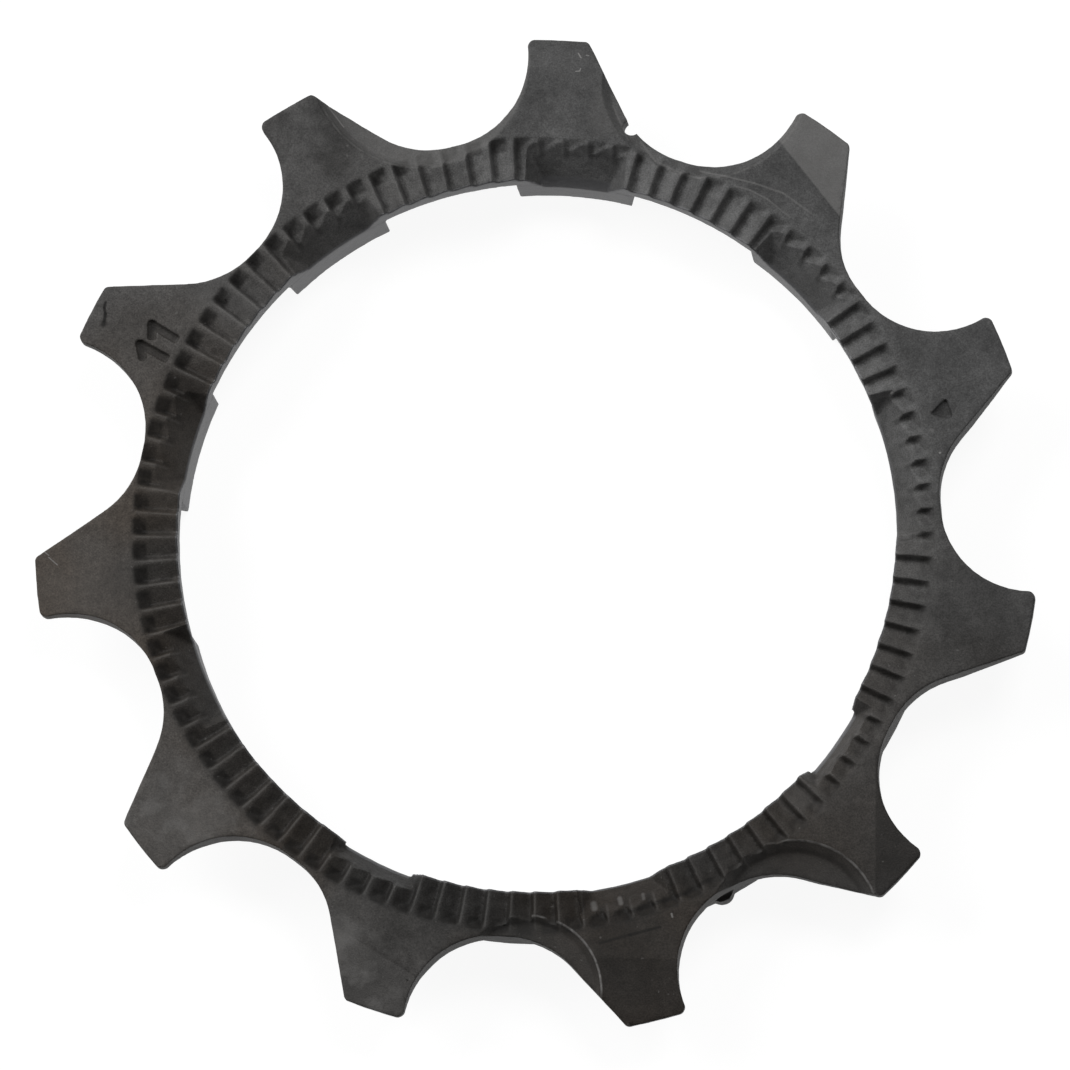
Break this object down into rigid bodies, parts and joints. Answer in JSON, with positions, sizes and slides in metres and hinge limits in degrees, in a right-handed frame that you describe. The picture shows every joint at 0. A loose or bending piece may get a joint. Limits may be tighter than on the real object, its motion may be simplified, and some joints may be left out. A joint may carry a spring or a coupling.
{
  "type": "cassette cog",
  "caption": "First-position bicycle cassette cog with a built-in spacer ring, a splined bore, a serrated locking face and shift ramps between its teeth.",
  "frame": {"origin": "axis of the bore, at the back face of the spacer ring", "axes": "+Z along the bore axis, from the spacer ring towards the serrated outer face; +X is 5 degrees clockwise of a gullet and in line with the wide spline key, seen from +Z"},
  "size_m": [0.0462, 0.046, 0.0043],
  "materials": {
    "cog": "dark phosphated, satin"
  },
  "bodies": {
    "root": {"cog": "cog"}
  },
  "joints": []
}
